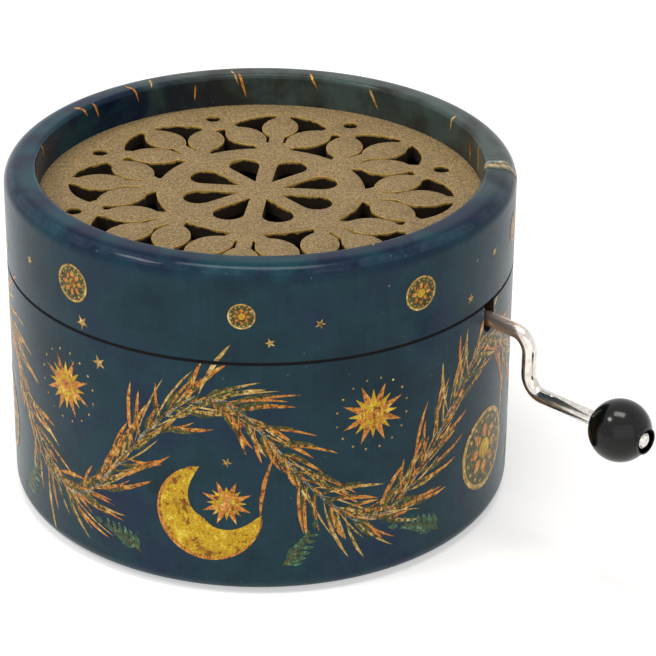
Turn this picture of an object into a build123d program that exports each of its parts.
from build123d import *
import os
from math import atan, ceil, cos, degrees, hypot, pi, radians, sin, sqrt, tan

# A small round music box turned by hand. A paper-wrapped card drum stands on the XY plane with its axis on Z.
# The lid carries a fretwork sound grille. The crank shaft runs along +X and leaves the drum at the seam.
# Inside, a worm on the shaft turns a pinned cylinder against an eighteen-note comb. Sizes are in millimetres.

# --- Drum -----------------------------------------------------------------------------------------
case_radius = 35.0
case_height = 48.0
seam_height = 34.5
wrap_thickness = 0.3
tube_wall = 2.6
bottom_edge_radius = 2.4
top_edge_radius = 2.3
seam_edge_bevel = 0.25
card_edge_bevel = 1.6
floor_recess = 1.0
floor_thickness = 2.0
glue_gap = 0.1

# --- Shoulder sleeve inside the base, which the lid slides over -----------------------------------
sleeve_fit = 0.2
sleeve_wall = 1.5
sleeve_head_room = 0.4
inside_fit = 0.2

# --- Rim and sound grille of the lid --------------------------------------------------------------
rim_width = 4.6
recess_depth = 4.8
rim_inner_edge_radius = 0.8
rim_inner_card_bevel = 0.5
grille_thickness = 2.0
retainer_thickness = 1.5
retainer_width = 1.5

# --- Fretwork of the grille: eight clusters of three leaves round an eight-spoked rosette ---------
cluster_count = 8
cluster_start_angle = 38.2
rosette_ring_radius = 14.3
drop_tip_radius = 2.9
drop_end_radius = 10.9
drop_half_width = 2.15
scallop_centre_radius = 18.8
scallop_radius = 7.8
cusp_radius = 22.1
leaf_length = 8.1
leaf_width = 5.15
neck_width = 2.05
centre_leaf_radius = 22.2
flank_leaf_side = 4.5
flank_leaf_radius = 18.5
flank_leaf_angle = 42.9
stem_width = 2.05
stem_overlap = 0.5
node_half_angle = 7.1
node_overlap = 0.5
node_side = 2.75
neck_overlap = 0.6
rim_hole_radius = 1.1
rim_hole_centre_radius = 26.1

# --- Crank ----------------------------------------------------------------------------------------
wire_diameter = 2.0
bend_radius = 2.6
shaft_y = 9.6
shaft_below_seam = 2.5
arm_standoff = 5.9
crank_throw = 8.0
handle_length = 15.7
slot_side_clearance = 0.4
slot_bottom_clearance = 0.85

# --- Knob -----------------------------------------------------------------------------------------
knob_diameter = 8.4
knob_flat_depth = 0.5
knob_boss_diameter = 3.6
knob_boss_rise = 0.1
knob_bore_clearance = 0.08
knob_end_play = 0.15
counterbore_diameter = 3.2
counterbore_depth = 1.2
rivet_head_diameter = 2.5
rivet_head_thickness = 0.9
rivet_head_bevel = 0.3
stop_recess_diameter = 3.4
stop_recess_depth = 1.05
stop_collar_diameter = 3.0
stop_collar_length = 0.9

# --- Worm and wheel -------------------------------------------------------------------------------
gear_module = 0.6
wheel_teeth = 20
worm_pitch_diameter = 5.0
worm_length = 7.6
worm_facets_per_turn = 16
worm_flank_facets = 3
wheel_face = 3.5
wheel_hub_diameter = 6.0
wheel_hub_length = 1.35
wheel_boss_length = 0.5
tooth_half_thickness = 0.4
pressure_angle = 20.0
mesh_root_clearance = 0.15
shaft_end_play = 0.3
bearing_clearance = 0.06
worm_relief = 0.4

# --- Pinned cylinder ------------------------------------------------------------------------------
movement_shaft_height = 18.0
cylinder_x = 8.0
cylinder_radius = 6.5
cylinder_wall = 0.8
cylinder_length = 20.0
cap_thickness = 1.2
arbor_diameter = 2.0
arbor_overhang = 0.8
pin_size = 0.35
pin_length = 0.45
pins_per_track = 4
tune_step = 7
press_clearance = 0.02

# --- Comb -----------------------------------------------------------------------------------------
note_count = 18
note_pitch = 1.05
tooth_slot = 0.3
tip_gap = 0.12
comb_thickness = 1.0
tooth_thinning = 0.3
comb_back_depth = 9.0
bass_tooth_length = 14.4
treble_tooth_length = 9.6
comb_side_margin = 0.5
lead_count = 7
lead_height = 2.4
bass_lead_length = 5.0
treble_lead_length = 2.0
lead_setback = 1.2

# --- Bedplate, posts and bracket ------------------------------------------------------------------
board_thickness = 2.0
support_ring_wall = 2.5
bedplate_thickness = 2.0
bedplate_margin = 1.0
bedplate_corner_radius = 2.0
post_thickness = 1.6
post_half_width = 3.4
seat_tunnel_width = 4.6
seat_tunnel_height = 4.0
bracket_thickness = 1.5
bracket_half_width = 6.5
lug_radius = 2.4
lug_width = 1.5
bracket_foot_length = 5.2
bracket_window_radius = 2.1

# --- Fasteners ------------------------------------------------------------------------------------
screw_clearance = 0.08
small_screw_diameter = 1.8
small_screw_head_diameter = 3.4
small_screw_head_height = 1.1
small_screw_depth = 1.7
comb_screw_depth = 4.0
bed_screw_diameter = 2.4
bed_screw_head_diameter = 4.4
bed_screw_head_height = 1.4
bed_screw_depth = 1.8
screw_head_bevel = 0.35
driver_slot_depth = 0.45
driver_slot_width = 0.5
clip_diameter = 4.4
clip_thickness = 0.6
clip_mouth_width = 1.4

# --- Worked out from the sizes above --------------------------------------------------------------
tube_radius = case_radius - wrap_thickness
bore_radius = tube_radius - tube_wall
sleeve_radius = bore_radius - sleeve_fit
sleeve_bore_radius = sleeve_radius - sleeve_wall
inside_radius = sleeve_bore_radius - inside_fit
floor_top = floor_recess + floor_thickness
recess_radius = case_radius - rim_width
grille_top = case_height - recess_depth
grille_bottom = grille_top - grille_thickness
retainer_bottom = grille_bottom - retainer_thickness
sleeve_top = retainer_bottom - sleeve_head_room

shaft_z = seam_height - shaft_below_seam
wire_radius = wire_diameter / 2
board_top = shaft_z - movement_shaft_height
board_bottom = board_top - board_thickness
bed_top = board_top + bedplate_thickness

wheel_pitch_radius = gear_module * wheel_teeth / 2
wheel_tip_radius = wheel_pitch_radius + gear_module
worm_pitch_radius = worm_pitch_diameter / 2
worm_tip_radius = worm_pitch_radius + gear_module
centre_distance = wheel_pitch_radius + worm_pitch_radius
worm_root_radius = centre_distance - wheel_tip_radius - mesh_root_clearance
wheel_root_radius = centre_distance - worm_tip_radius - mesh_root_clearance
worm_lead = pi * gear_module
cylinder_z = shaft_z - centre_distance

wheel_near_face = shaft_y - wheel_face / 2
wheel_far_face = shaft_y + wheel_face / 2
cylinder_end_y = wheel_near_face - wheel_hub_length
cylinder_start_y = cylinder_end_y - cylinder_length
cylinder_middle_y = (cylinder_start_y + cylinder_end_y) / 2
bracket_inner_y = wheel_far_face + wheel_boss_length + shaft_end_play
bracket_outer_y = bracket_inner_y + bracket_thickness
post_inner_y = cylinder_start_y - shaft_end_play
post_outer_y = post_inner_y - post_thickness

worm_start_x = cylinder_x - worm_length / 2
worm_end_x = cylinder_x + worm_length / 2
inner_lug_x = worm_start_x - shaft_end_play - lug_width
outer_lug_x = worm_end_x + shaft_end_play
clip_x = inner_lug_x - shaft_end_play - clip_thickness
shaft_inner_end_x = clip_x - clip_thickness
arm_x = case_radius + arm_standoff
knob_x = arm_x + handle_length
handle_z = shaft_z - crank_throw
knob_radius = knob_diameter / 2
knob_inner_face = knob_radius - knob_flat_depth
knob_outer_face = knob_radius + knob_boss_rise
rivet_seat_x = knob_x + knob_outer_face - counterbore_depth
stop_seat_x = knob_x - knob_inner_face + stop_recess_depth

comb_tip_x = cylinder_x - cylinder_radius - pin_length - tip_gap
comb_root_x = comb_tip_x - bass_tooth_length
comb_back_x = comb_root_x - comb_back_depth
comb_top = cylinder_z + comb_thickness / 2
comb_bottom = cylinder_z - comb_thickness / 2
comb_half_width = note_count * note_pitch / 2 + comb_side_margin
tooth_width = note_pitch - tooth_slot
comb_screw_x = comb_back_x + comb_back_depth / 2
comb_screw_side = comb_half_width - comb_back_depth / 2
bracket_screw_side = bracket_half_width - small_screw_head_diameter / 2 - bedplate_margin / 2
bracket_screw_y = bracket_outer_y + bracket_foot_length - small_screw_head_diameter / 2 - bedplate_margin / 2
bed_screw_places = [
    (comb_root_x + bed_screw_head_diameter, post_outer_y + bed_screw_head_diameter),
    (comb_root_x + bed_screw_head_diameter, bracket_outer_y),
    (cylinder_x + bracket_half_width - bed_screw_head_diameter / 2, cylinder_middle_y),
]


# --- Shared shapes --------------------------------------------------------------------------------
def ring(outer_radius, inner_radius, bottom, top):
    """A plain tube about Z."""
    height = top - bottom
    outer = Cylinder(outer_radius, height, align=(Align.CENTER, Align.CENTER, Align.MIN))
    inner = Cylinder(inner_radius, height, align=(Align.CENTER, Align.CENTER, Align.MIN))
    return Pos(0, 0, bottom) * (outer - inner)


def block(x0, x1, y0, y1, z0, z1):
    """A box between two corners."""
    box = Box(x1 - x0, y1 - y0, z1 - z0, align=(Align.MIN, Align.MIN, Align.MIN))
    return Pos(x0, y0, z0) * box


def rod(diameter, length):
    """A round bar that starts at the origin and runs along +Z."""
    return Cylinder(diameter / 2, length, align=(Align.CENTER, Align.CENTER, Align.MIN))


def rod_x(diameter, x0, x1, y, z):
    """A round bar along X."""
    return Pos(x0, y, z) * Rot(0, 90, 0) * rod(diameter, x1 - x0)


def rod_y(diameter, y0, y1, x, z):
    """A round bar along Y."""
    return Pos(x, y0, z) * Rot(-90, 0, 0) * rod(diameter, y1 - y0)


def profile_rectangle(r0, r1, z0, z1):
    """A rectangle in the half plane through the axis, as radius and height."""
    return make_face(Plane.XZ * Polyline((r0, z0), (r1, z0), (r1, z1), (r0, z1), close=True))


def corner(face, r, z):
    """The vertex of a profile nearest to a radius and height."""
    return min(face.vertices(), key=lambda vertex: hypot(vertex.X - r, vertex.Z - z))


def rounded_corner(face, r, z, radius):
    """The profile with one corner rounded."""
    return fillet(corner(face, r, z), radius)


def turned(profile):
    """The solid that a profile sweeps out about Z."""
    return revolve(profile, Axis.Z)


def bevelled_corner(face, r, z, leg):
    """The profile with one corner cut off at 45 degrees."""
    return chamfer(corner(face, r, z), leg)


def pan_screw(diameter, length, head_diameter, head_height):
    """A slotted screw along +Z: the head's underside is at the origin, the shank hangs below it."""
    shank = Pos(0, 0, -length) * rod(diameter, length)
    head = rod(head_diameter, head_height)
    head = chamfer(head.edges().group_by(Axis.Z)[-1], screw_head_bevel)
    driver_slot = Pos(0, 0, head_height) * Box(head_diameter, driver_slot_width, 2 * driver_slot_depth)
    return head + shank - driver_slot


def crank_slot(r0, r1):
    """The notch for the crank shaft: a round-bottomed slot, open upwards, across the walls from r0 to r1."""
    half_width = wire_radius + slot_side_clearance
    lowest = shaft_z - wire_radius - slot_bottom_clearance
    middle = lowest + half_width
    bottom = rod_x(2 * half_width, r0, r1, shaft_y, middle)
    sides = block(r0, r1, shaft_y - half_width, shaft_y + half_width, middle, seam_height + seam_edge_bevel)
    return bottom + sides


# --- Drum -----------------------------------------------------------------------------------------
def base_card_profile():
    card = profile_rectangle(bore_radius, tube_radius, wrap_thickness, seam_height)
    return bevelled_corner(card, tube_radius, wrap_thickness, card_edge_bevel)


def make_base_tube():
    return turned(base_card_profile()) - crank_slot(bore_radius - wire_diameter, case_radius + wire_diameter)


def make_base_wrap():
    skin = profile_rectangle(bore_radius, case_radius, 0, seam_height)
    skin = rounded_corner(skin, case_radius, 0, bottom_edge_radius)
    skin = bevelled_corner(skin, case_radius, seam_height, seam_edge_bevel)
    wrap = turned(skin) - turned(base_card_profile())
    return wrap - crank_slot(bore_radius - wire_diameter, case_radius + wire_diameter)


def make_base_floor():
    return Pos(0, 0, floor_recess) * rod(2 * (bore_radius - glue_gap), floor_thickness)


def make_shoulder_sleeve():
    sleeve = ring(sleeve_radius, sleeve_bore_radius, floor_top, sleeve_top)
    return sleeve - crank_slot(sleeve_bore_radius - wire_diameter * 2, sleeve_radius + wire_diameter)


def lid_card_profile():
    inner = recess_radius + wrap_thickness
    top = case_height - wrap_thickness
    card = profile_rectangle(inner, tube_radius, seam_height, top)
    card = bevelled_corner(card, tube_radius, top, card_edge_bevel)
    return bevelled_corner(card, inner, top, rim_inner_card_bevel)


def make_lid_tube():
    hollow = rod(2 * bore_radius, grille_top)
    return turned(lid_card_profile()) - hollow


def make_lid_wrap():
    skin = profile_rectangle(recess_radius, case_radius, seam_height, case_height)
    skin = rounded_corner(skin, case_radius, case_height, top_edge_radius)
    skin = rounded_corner(skin, recess_radius, case_height, rim_inner_edge_radius)
    skin = bevelled_corner(skin, case_radius, seam_height, seam_edge_bevel)
    hollow = rod(2 * bore_radius, grille_top)
    return turned(skin) - turned(lid_card_profile()) - hollow


def make_grille_retainer():
    outer = bore_radius - glue_gap
    return ring(outer, outer - retainer_width, retainer_bottom, grille_bottom)


# --- Fretwork grille ------------------------------------------------------------------------------
def leaf(length, width):
    """A pointed oval along Y, centred on the origin, with a short neck at both tips."""
    half = length / 2
    right = ThreePointArc((0, -half), (width / 2, 0), (0, half))
    left = ThreePointArc((0, half), (-width / 2, 0), (0, -half))
    return make_face([right, left]) + Rectangle(neck_width, length + 2 * neck_overlap)


def drop_hole():
    """A teardrop along Y: a point towards the centre and a round end against the ring."""
    end_y = drop_end_radius - drop_half_width
    reach = end_y - drop_tip_radius
    touch_angle = atan(drop_half_width / sqrt(reach**2 - drop_half_width**2))
    touch_x = drop_half_width * cos(touch_angle)
    touch_y = end_y - drop_half_width * sin(touch_angle)
    side_one = Line((0, drop_tip_radius), (touch_x, touch_y))
    round_end = ThreePointArc((touch_x, touch_y), (0, drop_end_radius), (-touch_x, touch_y))
    side_two = Line((-touch_x, touch_y), (0, drop_tip_radius))
    return make_face([side_one, round_end, side_two])


def cluster_leaves():
    """One cluster on the +Y axis: a stem, a middle leaf and two flank leaves that spring from one node."""
    stem_foot = rosette_ring_radius - stem_overlap
    stem_middle = (stem_foot + centre_leaf_radius) / 2
    stem = Pos(0, stem_middle) * Rectangle(stem_width, centre_leaf_radius - stem_foot)
    foot_x = rosette_ring_radius * sin(radians(node_half_angle))
    foot_y = rosette_ring_radius * cos(radians(node_half_angle)) - stem_width / 2
    leaf_foot = flank_leaf_radius - leaf_length / 2 * cos(radians(flank_leaf_angle))
    top_y = leaf_foot + node_overlap
    node_corners = [(-foot_x, foot_y), (foot_x, foot_y), (node_side, top_y), (-node_side, top_y)]
    node = make_face(Polyline(*node_corners, close=True))
    cluster = stem + node + Pos(0, centre_leaf_radius) * leaf(leaf_length, leaf_width)
    for side in (-1, 1):
        place = Pos(side * flank_leaf_side, flank_leaf_radius) * Rot(0, 0, -side * flank_leaf_angle)
        cluster += place * leaf(leaf_length, leaf_width)
    return cluster


def make_grille_disc():
    open_ring = Circle(cusp_radius)
    scallops = [Rot(0, 0, k * 360 / cluster_count) * Pos(0, scallop_centre_radius) * Circle(scallop_radius)
                for k in range(cluster_count)]
    open_ring = open_ring + scallops
    plate = Circle(bore_radius - glue_gap) - open_ring
    spread = [Rot(0, 0, k * 360 / cluster_count) for k in range(cluster_count)]
    half_step = Rot(0, 0, 180 / cluster_count)
    leaves = [turn * cluster_leaves() for turn in spread]
    rim_hole = Pos(0, rim_hole_centre_radius) * Circle(rim_hole_radius)
    holes = []
    for opening in (drop_hole(), rim_hole):
        holes += [turn * half_step * opening for turn in spread]
    fret = plate + ([Circle(rosette_ring_radius)] + leaves) - holes
    board = extrude(fret, grille_thickness)
    return Pos(0, 0, grille_bottom) * Rot(0, 0, cluster_start_angle - 90) * board


# --- Inside the base ------------------------------------------------------------------------------
def make_support_ring():
    return ring(inside_radius, inside_radius - support_ring_wall, floor_top, board_bottom)


def make_movement_board():
    board = Pos(0, 0, board_bottom) * rod(2 * inside_radius, board_thickness)
    for x, y in bed_screw_places:
        board -= Pos(x, y, board_bottom) * rod(bed_screw_diameter + 2 * screw_clearance, board_thickness)
    return board


def bedplate_outline():
    """The plan of the casting: a wide part under cylinder and bracket, a narrower one under the comb."""
    right = cylinder_x + bracket_half_width + bedplate_margin
    left = comb_root_x
    front = post_outer_y - bedplate_margin
    rear = bracket_outer_y + bracket_foot_length
    wide_shape = RectangleRounded(right - left, rear - front, bedplate_corner_radius)
    wide = Pos((left + right) / 2, (front + rear) / 2) * wide_shape
    comb_left = comb_back_x - bedplate_margin
    comb_width = 2 * (comb_half_width + bedplate_margin)
    narrow_shape = RectangleRounded(right - comb_left, comb_width, bedplate_corner_radius)
    narrow = Pos((comb_left + right) / 2, cylinder_middle_y) * narrow_shape
    return wide + narrow


def make_bedplate():
    plate = Pos(0, 0, board_top) * extrude(bedplate_outline(), bedplate_thickness)
    low_y = cylinder_middle_y - comb_half_width
    high_y = cylinder_middle_y + comb_half_width
    seat = block(comb_back_x, comb_root_x, low_y, high_y, bed_top, comb_bottom)
    tunnel_x = comb_back_x + comb_back_depth / 2
    tunnel_top = bed_top + seat_tunnel_height - seat_tunnel_width / 2
    tunnel = rod_y(seat_tunnel_width, low_y, high_y, tunnel_x, tunnel_top)
    tunnel_side = seat_tunnel_width / 2
    tunnel += block(tunnel_x - tunnel_side, tunnel_x + tunnel_side, low_y, high_y, bed_top, tunnel_top)
    post_start_x = cylinder_x - post_half_width
    post_end_x = cylinder_x + post_half_width
    post = block(post_start_x, post_end_x, post_outer_y, post_inner_y, bed_top, cylinder_z)
    post += rod_y(2 * post_half_width, post_outer_y, post_inner_y, cylinder_x, cylinder_z)
    bearing_diameter = arbor_diameter + 2 * bearing_clearance
    bearing = rod_y(bearing_diameter, post_outer_y, post_inner_y, cylinder_x, cylinder_z)
    casting = plate + (seat - tunnel) + (post - bearing)
    screw_hole_diameter = small_screw_diameter + 2 * screw_clearance
    for side in (-1, 1):
        hole = rod(screw_hole_diameter, comb_screw_depth)
        y = cylinder_middle_y + side * comb_screw_side
        casting -= Pos(comb_screw_x, y, comb_bottom - comb_screw_depth) * hole
        hole = rod(screw_hole_diameter, small_screw_depth)
        x = cylinder_x + side * bracket_screw_side
        casting -= Pos(x, bracket_screw_y, bed_top - small_screw_depth) * hole
    for x, y in bed_screw_places:
        casting -= Pos(x, y, board_top) * rod(bed_screw_diameter + 2 * screw_clearance, bed_screw_depth)
    return casting


def make_bedplate_screws():
    length = board_thickness + bed_screw_depth
    screw = pan_screw(bed_screw_diameter, length, bed_screw_head_diameter, bed_screw_head_height)
    return Compound(children=[Pos(x, y, board_bottom) * Rot(180, 0, 0) * screw for x, y in bed_screw_places])


def make_crank_bracket():
    foot_top = bed_top + bracket_thickness
    top_z = shaft_z + lug_radius
    low_x = cylinder_x - bracket_half_width
    high_x = cylinder_x + bracket_half_width
    plate = block(low_x, high_x, bracket_inner_y, bracket_outer_y, bed_top, top_z)
    foot = block(low_x, high_x, bracket_inner_y, bracket_outer_y + bracket_foot_length, bed_top, foot_top)
    bracket = plate + foot
    for lug_x in (inner_lug_x, outer_lug_x):
        lug = rod_x(2 * lug_radius, lug_x, lug_x + lug_width, shaft_y, shaft_z)
        lug += block(lug_x, lug_x + lug_width, shaft_y, bracket_inner_y, shaft_z - lug_radius, top_z)
        bracket += lug
    window_z = cylinder_z + (lug_radius + centre_distance) / 2
    window = rod_y(2 * bracket_window_radius, bracket_inner_y, bracket_outer_y, cylinder_x, window_z)
    running = 2 * bearing_clearance
    shaft_bore = rod_x(wire_diameter + running, inner_lug_x, outer_lug_x + lug_width, shaft_y, shaft_z)
    arbor_bore = rod_y(arbor_diameter + running, bracket_inner_y, bracket_outer_y, cylinder_x, cylinder_z)
    worm_way_diameter = 2 * (worm_tip_radius + worm_relief)
    worm_way = rod_x(worm_way_diameter, inner_lug_x + lug_width, outer_lug_x, shaft_y, shaft_z)
    bracket = bracket - window - worm_way - shaft_bore - arbor_bore
    for side in (-1, 1):
        hole = rod(small_screw_diameter + 2 * screw_clearance, bracket_thickness)
        bracket -= Pos(cylinder_x + side * bracket_screw_side, bracket_screw_y, bed_top) * hole
    return bracket


def make_bracket_screws():
    length = bracket_thickness + small_screw_depth
    screw = pan_screw(small_screw_diameter, length, small_screw_head_diameter, small_screw_head_height)
    top = bed_top + bracket_thickness
    places = [(cylinder_x + side * bracket_screw_side, bracket_screw_y) for side in (-1, 1)]
    return Compound(children=[Pos(x, y, top) * screw for x, y in places])


# --- Comb -----------------------------------------------------------------------------------------
def note_y(note):
    """The middle of a tooth and of its track on the cylinder, counted from the low notes."""
    return cylinder_middle_y + (note - (note_count - 1) / 2) * note_pitch


def tooth_length(note):
    """Teeth shorten evenly from the low to the high notes."""
    return bass_tooth_length + (treble_tooth_length - bass_tooth_length) * note / (note_count - 1)


def make_comb():
    low_y = cylinder_middle_y - comb_half_width
    high_y = cylinder_middle_y + comb_half_width
    comb = block(comb_back_x, comb_tip_x, low_y, high_y, comb_bottom, comb_top)
    slots = []
    for gap in range(note_count - 1):
        y = note_y(gap + 0.5)
        root_x = comb_tip_x - tooth_length(gap + 0.5)
        slots.append(block(root_x, comb_tip_x, y - tooth_slot / 2, y + tooth_slot / 2, comb_bottom, comb_top))
    for y0, y1 in ((low_y, note_y(0) - tooth_width / 2), (note_y(note_count - 1) + tooth_width / 2, high_y)):
        slots.append(block(comb_root_x, comb_tip_x, y0, y1, comb_bottom, comb_top))
    thin_top = comb_bottom + tooth_thinning
    thinned = block(comb_tip_x - treble_tooth_length, comb_tip_x, low_y, high_y, comb_bottom, thin_top)
    comb = comb - slots - thinned
    for side in (-1, 1):
        hole = rod(small_screw_diameter + 2 * screw_clearance, comb_thickness)
        comb -= Pos(comb_screw_x, cylinder_middle_y + side * comb_screw_side, comb_bottom) * hole
    return comb


def make_comb_leads():
    leads = []
    top = comb_bottom + tooth_thinning
    for note in range(lead_count):
        length = bass_lead_length + (treble_lead_length - bass_lead_length) * note / (lead_count - 1)
        low_y = note_y(note) - tooth_width / 2
        end_x = comb_tip_x - lead_setback
        leads.append(block(end_x - length, end_x, low_y, low_y + tooth_width, top - lead_height, top))
    return Compound(children=leads)


def make_comb_screws():
    length = comb_thickness + comb_screw_depth
    screw = pan_screw(small_screw_diameter, length, small_screw_head_diameter, small_screw_head_height)
    places = [cylinder_middle_y + side * comb_screw_side for side in (-1, 1)]
    return Compound(children=[Pos(comb_screw_x, y, comb_top) * screw for y in places])


# --- Cylinder -------------------------------------------------------------------------------------
def pin_angle(note, beat):
    """Where a pin stands round its track: the tune's beats, stepped from track to track."""
    step = 360 / (pins_per_track * note_count)
    return (beat * note_count + (note * tune_step) % note_count) * step


def make_pinned_cylinder():
    bore = rod(2 * (cylinder_radius - cylinder_wall), cylinder_length)
    tube = rod(2 * cylinder_radius, cylinder_length) - bore
    root = cylinder_radius - cylinder_wall / 2
    length = pin_length + cylinder_wall / 2
    pin = Box(length, pin_size, pin_size, align=(Align.MIN, Align.CENTER, Align.CENTER))
    pins = []
    for note in range(note_count):
        height = note_y(note) - cylinder_start_y
        for beat in range(pins_per_track):
            pins.append(Rot(0, 0, pin_angle(note, beat)) * Pos(root, 0, height) * pin)
    return Pos(cylinder_x, cylinder_start_y, cylinder_z) * Rot(-90, 0, 0) * (tube + pins)


def make_cylinder_caps():
    radius = cylinder_radius - cylinder_wall - press_clearance
    cap = rod(2 * radius, cap_thickness) - rod(arbor_diameter + 2 * press_clearance, cap_thickness)
    starts = (cylinder_start_y, cylinder_end_y - cap_thickness)
    return Compound(children=[Pos(cylinder_x, y, cylinder_z) * Rot(-90, 0, 0) * cap for y in starts])


def make_cylinder_arbor():
    start_y = post_outer_y - arbor_overhang
    end_y = bracket_outer_y + arbor_overhang
    return rod_y(arbor_diameter, start_y, end_y, cylinder_x, cylinder_z)


# --- Worm gear ------------------------------------------------------------------------------------
def flank_half_thickness(depth):
    """Half of a tooth's thickness at a height over its pitch line."""
    return tooth_half_thickness - depth * tan(radians(pressure_angle))


def wheel_section():
    """The wheel's teeth as a closed outline about the origin, one tooth on the +Y axis."""
    rising = [(wheel_root_radius, -1), (wheel_tip_radius, -1)]
    falling = [(wheel_tip_radius, 1), (wheel_root_radius, 1)]
    pitch_angle = 2 * pi / wheel_teeth
    points = []
    for tooth in range(wheel_teeth):
        for radius, side in rising + falling:
            half = flank_half_thickness(radius - wheel_pitch_radius) / radius
            angle = tooth * pitch_angle + side * half
            points.append((radius * sin(angle), radius * cos(angle)))
    return make_face(Polyline(*points, close=True))


def make_worm_wheel():
    helix = worm_lead / (2 * pi * worm_pitch_radius)
    twist = degrees(helix * wheel_face / wheel_pitch_radius)
    section = Rot(0, 0, -twist / 2) * wheel_section()
    teeth = Solid.extrude_linear_with_rotation(section.face(), (0, 0, 0), (0, 0, wheel_face), twist)
    hub_length = wheel_hub_length + wheel_face + wheel_boss_length
    hub = Pos(0, 0, -wheel_hub_length) * rod(wheel_hub_diameter, hub_length)
    bore = Pos(0, 0, -wheel_hub_length) * rod(arbor_diameter + 2 * press_clearance, hub_length)
    return Pos(cylinder_x, wheel_near_face, cylinder_z) * Rot(-90, 0, 0) * (Part() + [teeth, hub] - bore)


def worm_outline():
    """The worm cut across its axis, as radius and angle: a cam that follows the thread's flanks."""
    crest_angle = 2 * pi * flank_half_thickness(gear_module) / worm_lead
    root_angle = 2 * pi * flank_half_thickness(worm_root_radius - worm_pitch_radius) / worm_lead
    drop = worm_root_radius - worm_tip_radius
    falling = []
    for k in range(worm_flank_facets + 1):
        share = k / worm_flank_facets
        falling.append((worm_tip_radius + drop * share, crest_angle + (root_angle - crest_angle) * share))
    rising = [(radius, -angle) for radius, angle in reversed(falling)]
    root = [(worm_root_radius, pi + side * (pi - root_angle) / 3) for side in (-1, 1)]
    return [(worm_tip_radius, 0.0)] + falling + root + rising


def make_worm():
    """The thread is faceted: rings of the same outline, turned step by step, joined by triangles."""
    steps = ceil(worm_length / worm_lead * worm_facets_per_turn)
    outline = worm_outline()
    rings = []
    for k in range(steps + 1):
        x = worm_length * k / steps
        turn = 2 * pi * (x - worm_length / 2) / worm_lead
        rings.append([(x, -r * sin(angle + turn), r * cos(angle + turn)) for r, angle in outline])
    faces = [Face(Wire.make_polygon(ring_points)) for ring_points in (rings[0], rings[-1])]
    count = len(outline)
    for near, far in zip(rings, rings[1:]):
        for j in range(count):
            following = (j + 1) % count
            faces.append(Face(Wire.make_polygon([near[j], near[following], far[j]])))
            faces.append(Face(Wire.make_polygon([near[following], far[following], far[j]])))
    thread = Solid(Shell(faces))
    worm = Part() + thread - rod_x(wire_diameter + 2 * press_clearance, 0, worm_length, 0, 0)
    return Pos(worm_start_x, shaft_y, shaft_z) * worm


# --- Crank ----------------------------------------------------------------------------------------
def make_crank_wire():
    end_x = rivet_seat_x + knob_end_play
    path = FilletPolyline(
        (shaft_inner_end_x, shaft_y, shaft_z), (arm_x, shaft_y, shaft_z),
        (arm_x, shaft_y, handle_z), (end_x, shaft_y, handle_z), radius=bend_radius)
    section = Plane(origin=path @ 0, z_dir=path % 0) * Circle(wire_radius)
    return sweep(section, path=path)


def make_shaft_clip():
    ring_part = rod_x(clip_diameter, clip_x, clip_x + clip_thickness, shaft_y, shaft_z)
    bore = rod_x(wire_diameter + 2 * press_clearance, clip_x, clip_x + clip_thickness, shaft_y, shaft_z)
    mouth = Box(clip_thickness, clip_mouth_width, clip_diameter, align=(Align.MIN, Align.CENTER, Align.MIN))
    return ring_part - bore - Pos(clip_x, shaft_y, shaft_z) * mouth


def make_knob():
    """A ball with a flat at its inner end and a short boss at its outer end, recessed at both."""
    reach = knob_radius
    ball = Sphere(knob_radius) & block(-knob_inner_face, reach, -reach, reach, -reach, reach)
    boss = rod_x(knob_boss_diameter, 0, knob_outer_face, 0, 0)
    bore = rod_x(wire_diameter + 2 * knob_bore_clearance, -knob_inner_face, knob_outer_face, 0, 0)
    counterbore = rod_x(counterbore_diameter, knob_outer_face - counterbore_depth, knob_outer_face, 0, 0)
    stop_recess = rod_x(stop_recess_diameter, -knob_inner_face, stop_recess_depth - knob_inner_face, 0, 0)
    return Pos(knob_x, shaft_y, handle_z) * (ball + boss - bore - counterbore - stop_recess)


def make_knob_rivet():
    start = rivet_seat_x + knob_end_play
    head = rod(rivet_head_diameter, rivet_head_thickness)
    head = chamfer(head.edges().group_by(Axis.Z)[-1], rivet_head_bevel)
    return Pos(start, shaft_y, handle_z) * Rot(0, 90, 0) * head


def make_knob_stop():
    end = stop_seat_x - knob_end_play
    start = end - stop_collar_length
    collar = rod_x(stop_collar_diameter, start, end, shaft_y, handle_z)
    return collar - rod_x(wire_diameter + 2 * press_clearance, start, end, shaft_y, handle_z)


nodes = {
    "base_tube": make_base_tube,
    "base_wrap": make_base_wrap,
    "base_floor": make_base_floor,
    "shoulder_sleeve": make_shoulder_sleeve,
    "support_ring": make_support_ring,
    "movement_board": make_movement_board,
    "lid_tube": make_lid_tube,
    "lid_wrap": make_lid_wrap,
    "sound_grille": make_grille_disc,
    "grille_retainer": make_grille_retainer,
    "bedplate": make_bedplate,
    "bedplate_screws": make_bedplate_screws,
    "crank_bracket": make_crank_bracket,
    "bracket_screws": make_bracket_screws,
    "comb": make_comb,
    "comb_leads": make_comb_leads,
    "comb_screws": make_comb_screws,
    "pinned_cylinder": make_pinned_cylinder,
    "cylinder_caps": make_cylinder_caps,
    "cylinder_arbor": make_cylinder_arbor,
    "worm_wheel": make_worm_wheel,
    "worm": make_worm,
    "crank_wire": make_crank_wire,
    "shaft_clip": make_shaft_clip,
    "knob": make_knob,
    "knob_rivet": make_knob_rivet,
    "knob_stop": make_knob_stop,
}

os.makedirs("parts", exist_ok=True)
for name, make in nodes.items():
    piece = make()
    export_step(piece, os.path.join("parts", name + ".step"))
    print(name, round(piece.volume, 2))
